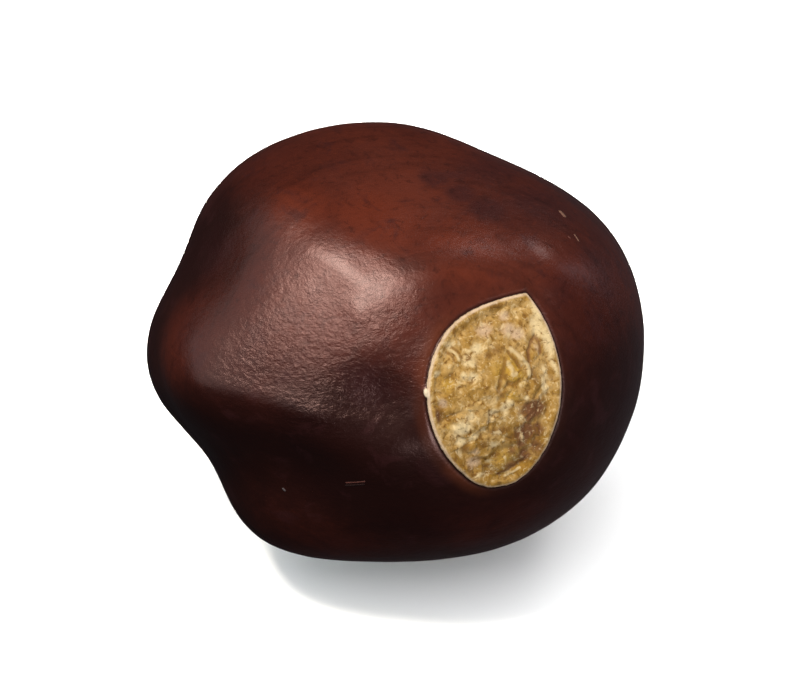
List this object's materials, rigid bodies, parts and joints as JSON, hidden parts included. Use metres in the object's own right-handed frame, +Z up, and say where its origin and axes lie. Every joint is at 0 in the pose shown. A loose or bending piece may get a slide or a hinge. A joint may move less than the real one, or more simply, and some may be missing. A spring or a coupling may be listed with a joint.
{
  "type": "horse chestnut seed",
  "caption": "Raw horse chestnut: one shiny, lobed dark brown seed with a pale, corky scar on its front and a small flat spot to rest on.",
  "frame": {"origin": "middle of the base: under the centre of the box that holds the seed, on the surface that it rests on", "axes": "+Z up, the scar faces -Y and a little to +X, and +X runs along the seed's longest side, to the right as seen from the front"},
  "size_m": [0.033, 0.0296, 0.0279],
  "materials": {
    "seed_coat": "satin, polished seed skin"
  },
  "bodies": {
    "root": {"horse_chestnut": "seed_coat"}
  },
  "joints": []
}
